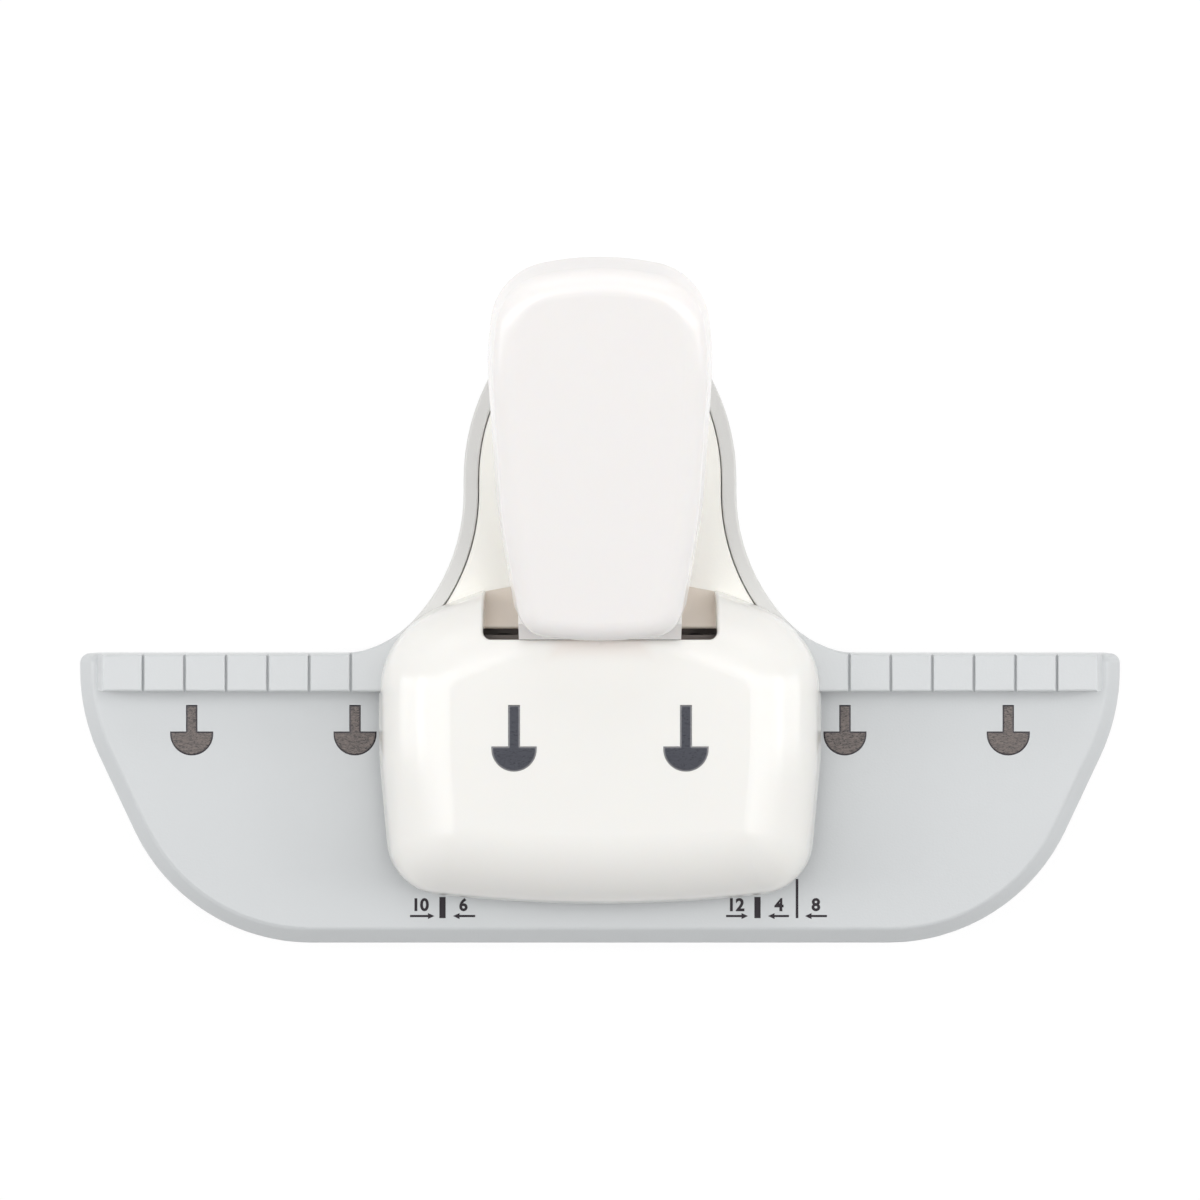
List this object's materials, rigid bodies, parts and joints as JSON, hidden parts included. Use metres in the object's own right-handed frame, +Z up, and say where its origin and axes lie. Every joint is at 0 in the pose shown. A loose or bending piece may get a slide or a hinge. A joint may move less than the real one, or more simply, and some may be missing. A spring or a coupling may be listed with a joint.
{
  "type": "disc binding punch",
  "caption": "Desk punch with a T-shaped base, grooved paper stop, domed cover and rear paddle lever that cuts mushroom holes for disc binding.",
  "frame": {"origin": "Centre of the overall box in plan, on the desk surface under the rubber feet.", "axes": "+X runs to the right along the paper stop, +Y from the front edge towards the handle's free end, +Z up from the desk."},
  "size_m": [0.1602, 0.1007, 0.0528],
  "materials": {
    "base_grey": "fine satin ABS moulding, pale cool grey",
    "under_grey": "fine textured ABS panel, mid grey",
    "drawer_grey": "smooth moulded ABS, mid grey",
    "deck_white": "satin warm white ABS moulding",
    "dome_white": "polished glossy white ABS moulding",
    "handle_white": "satin gloss white ABS moulding",
    "dome_foil": "dark blue-grey hot-stamped foil with fine streaks",
    "table_foil": "dark brown-grey hot-stamped foil with fine brushed streaks",
    "frame_steel": "pressed steel sheet with a black oxide finish",
    "tool_steel": "ground hardened tool steel",
    "spacer_alloy": "die-cast alloy block",
    "screw_zinc": "bright zinc plated steel",
    "spring_steel": "drawn spring wire and sprung steel clips",
    "foot_rubber": "matte black rubber"
  },
  "bodies": {
    "base": {"base_shell": "base_grey", "bottom_plate": "under_grey", "bottom_screws": "screw_zinc", "rubber_feet": "foot_rubber", "deck_cover": "deck_white", "deck_screws": "screw_zinc", "dome_cover": "dome_white", "dome_screws": "screw_zinc", "dome_marks": "dome_foil", "table_marks": "table_foil", "lower_frame": "frame_steel", "die_plate": "tool_steel", "frame_spacer": "spacer_alloy", "upper_frame": "frame_steel", "frame_screws": "screw_zinc", "frame_nuts": "screw_zinc", "base_screws": "screw_zinc", "fulcrum_shaft": "tool_steel", "shaft_clips": "spring_steel", "left_spring": "spring_steel", "right_spring": "spring_steel"},
    "lever_arm": {"lever": "frame_steel", "drive_pin": "tool_steel", "drive_roller": "tool_steel", "handle_cover": "handle_white", "handle_liner": "handle_white", "handle_screws": "screw_zinc"},
    "punch_unit": {"punch_carrier": "frame_steel", "left_punch": "tool_steel", "right_punch": "tool_steel"},
    "drawer": {"chip_drawer": "drawer_grey"}
  },
  "joints": [
    {"name": "lever_press", "type": "hinge", "parent": "base", "child": "lever_arm", "pos_m": [0, -0.0344, 0.0215], "axis": [-1, 0, 0], "range_deg": [0, 15.5], "stiffness_Nm_per_rad": 2.2, "springref_deg": -3.44},
    {"name": "punch_slide", "type": "slide", "parent": "base", "child": "punch_unit", "axis": [0, 0, -1], "range_m": [0, 0.0046], "deforming": ["left_spring", "right_spring"]},
    {"name": "drawer_slide", "type": "slide", "parent": "base", "child": "drawer", "axis": [0, -1, 0], "range_m": [0, 0.034]}
  ],
  "couplings": [
    {"joint": "punch_slide", "follows": "lever_press", "m_per_rad": 0.017}
  ]
}
